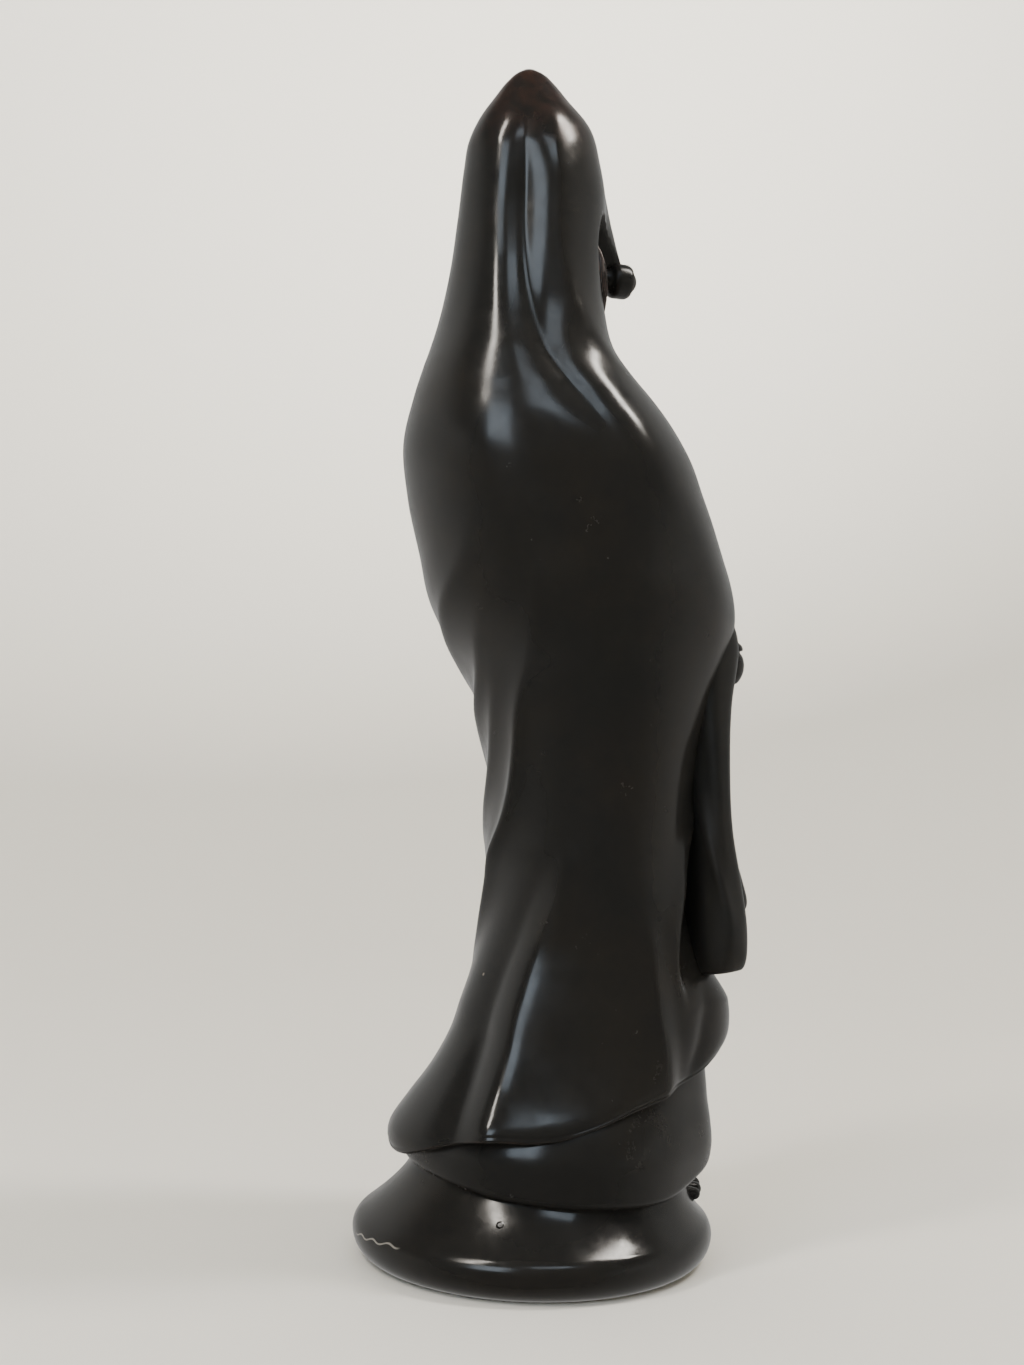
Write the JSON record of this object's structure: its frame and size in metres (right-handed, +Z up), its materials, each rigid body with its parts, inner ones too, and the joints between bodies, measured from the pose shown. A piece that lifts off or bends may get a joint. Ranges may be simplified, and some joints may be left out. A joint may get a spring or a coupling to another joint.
{
  "type": "kannon statue",
  "caption": "Standing Kannon in a hooded, flowing robe, hands at the waist, cast in one with its round flared foot.",
  "frame": {"origin": "centre of the flat underside of the round foot", "axes": "+Z up; the figure faces -Y and its right hand is on the -X side"},
  "size_m": [0.108, 0.1213, 0.355],
  "materials": {
    "dark_bronze": "dark brown, almost black patina on cast bronze, satin to glossy"
  },
  "bodies": {
    "root": {"kannon_statue": "dark_bronze"}
  },
  "joints": []
}
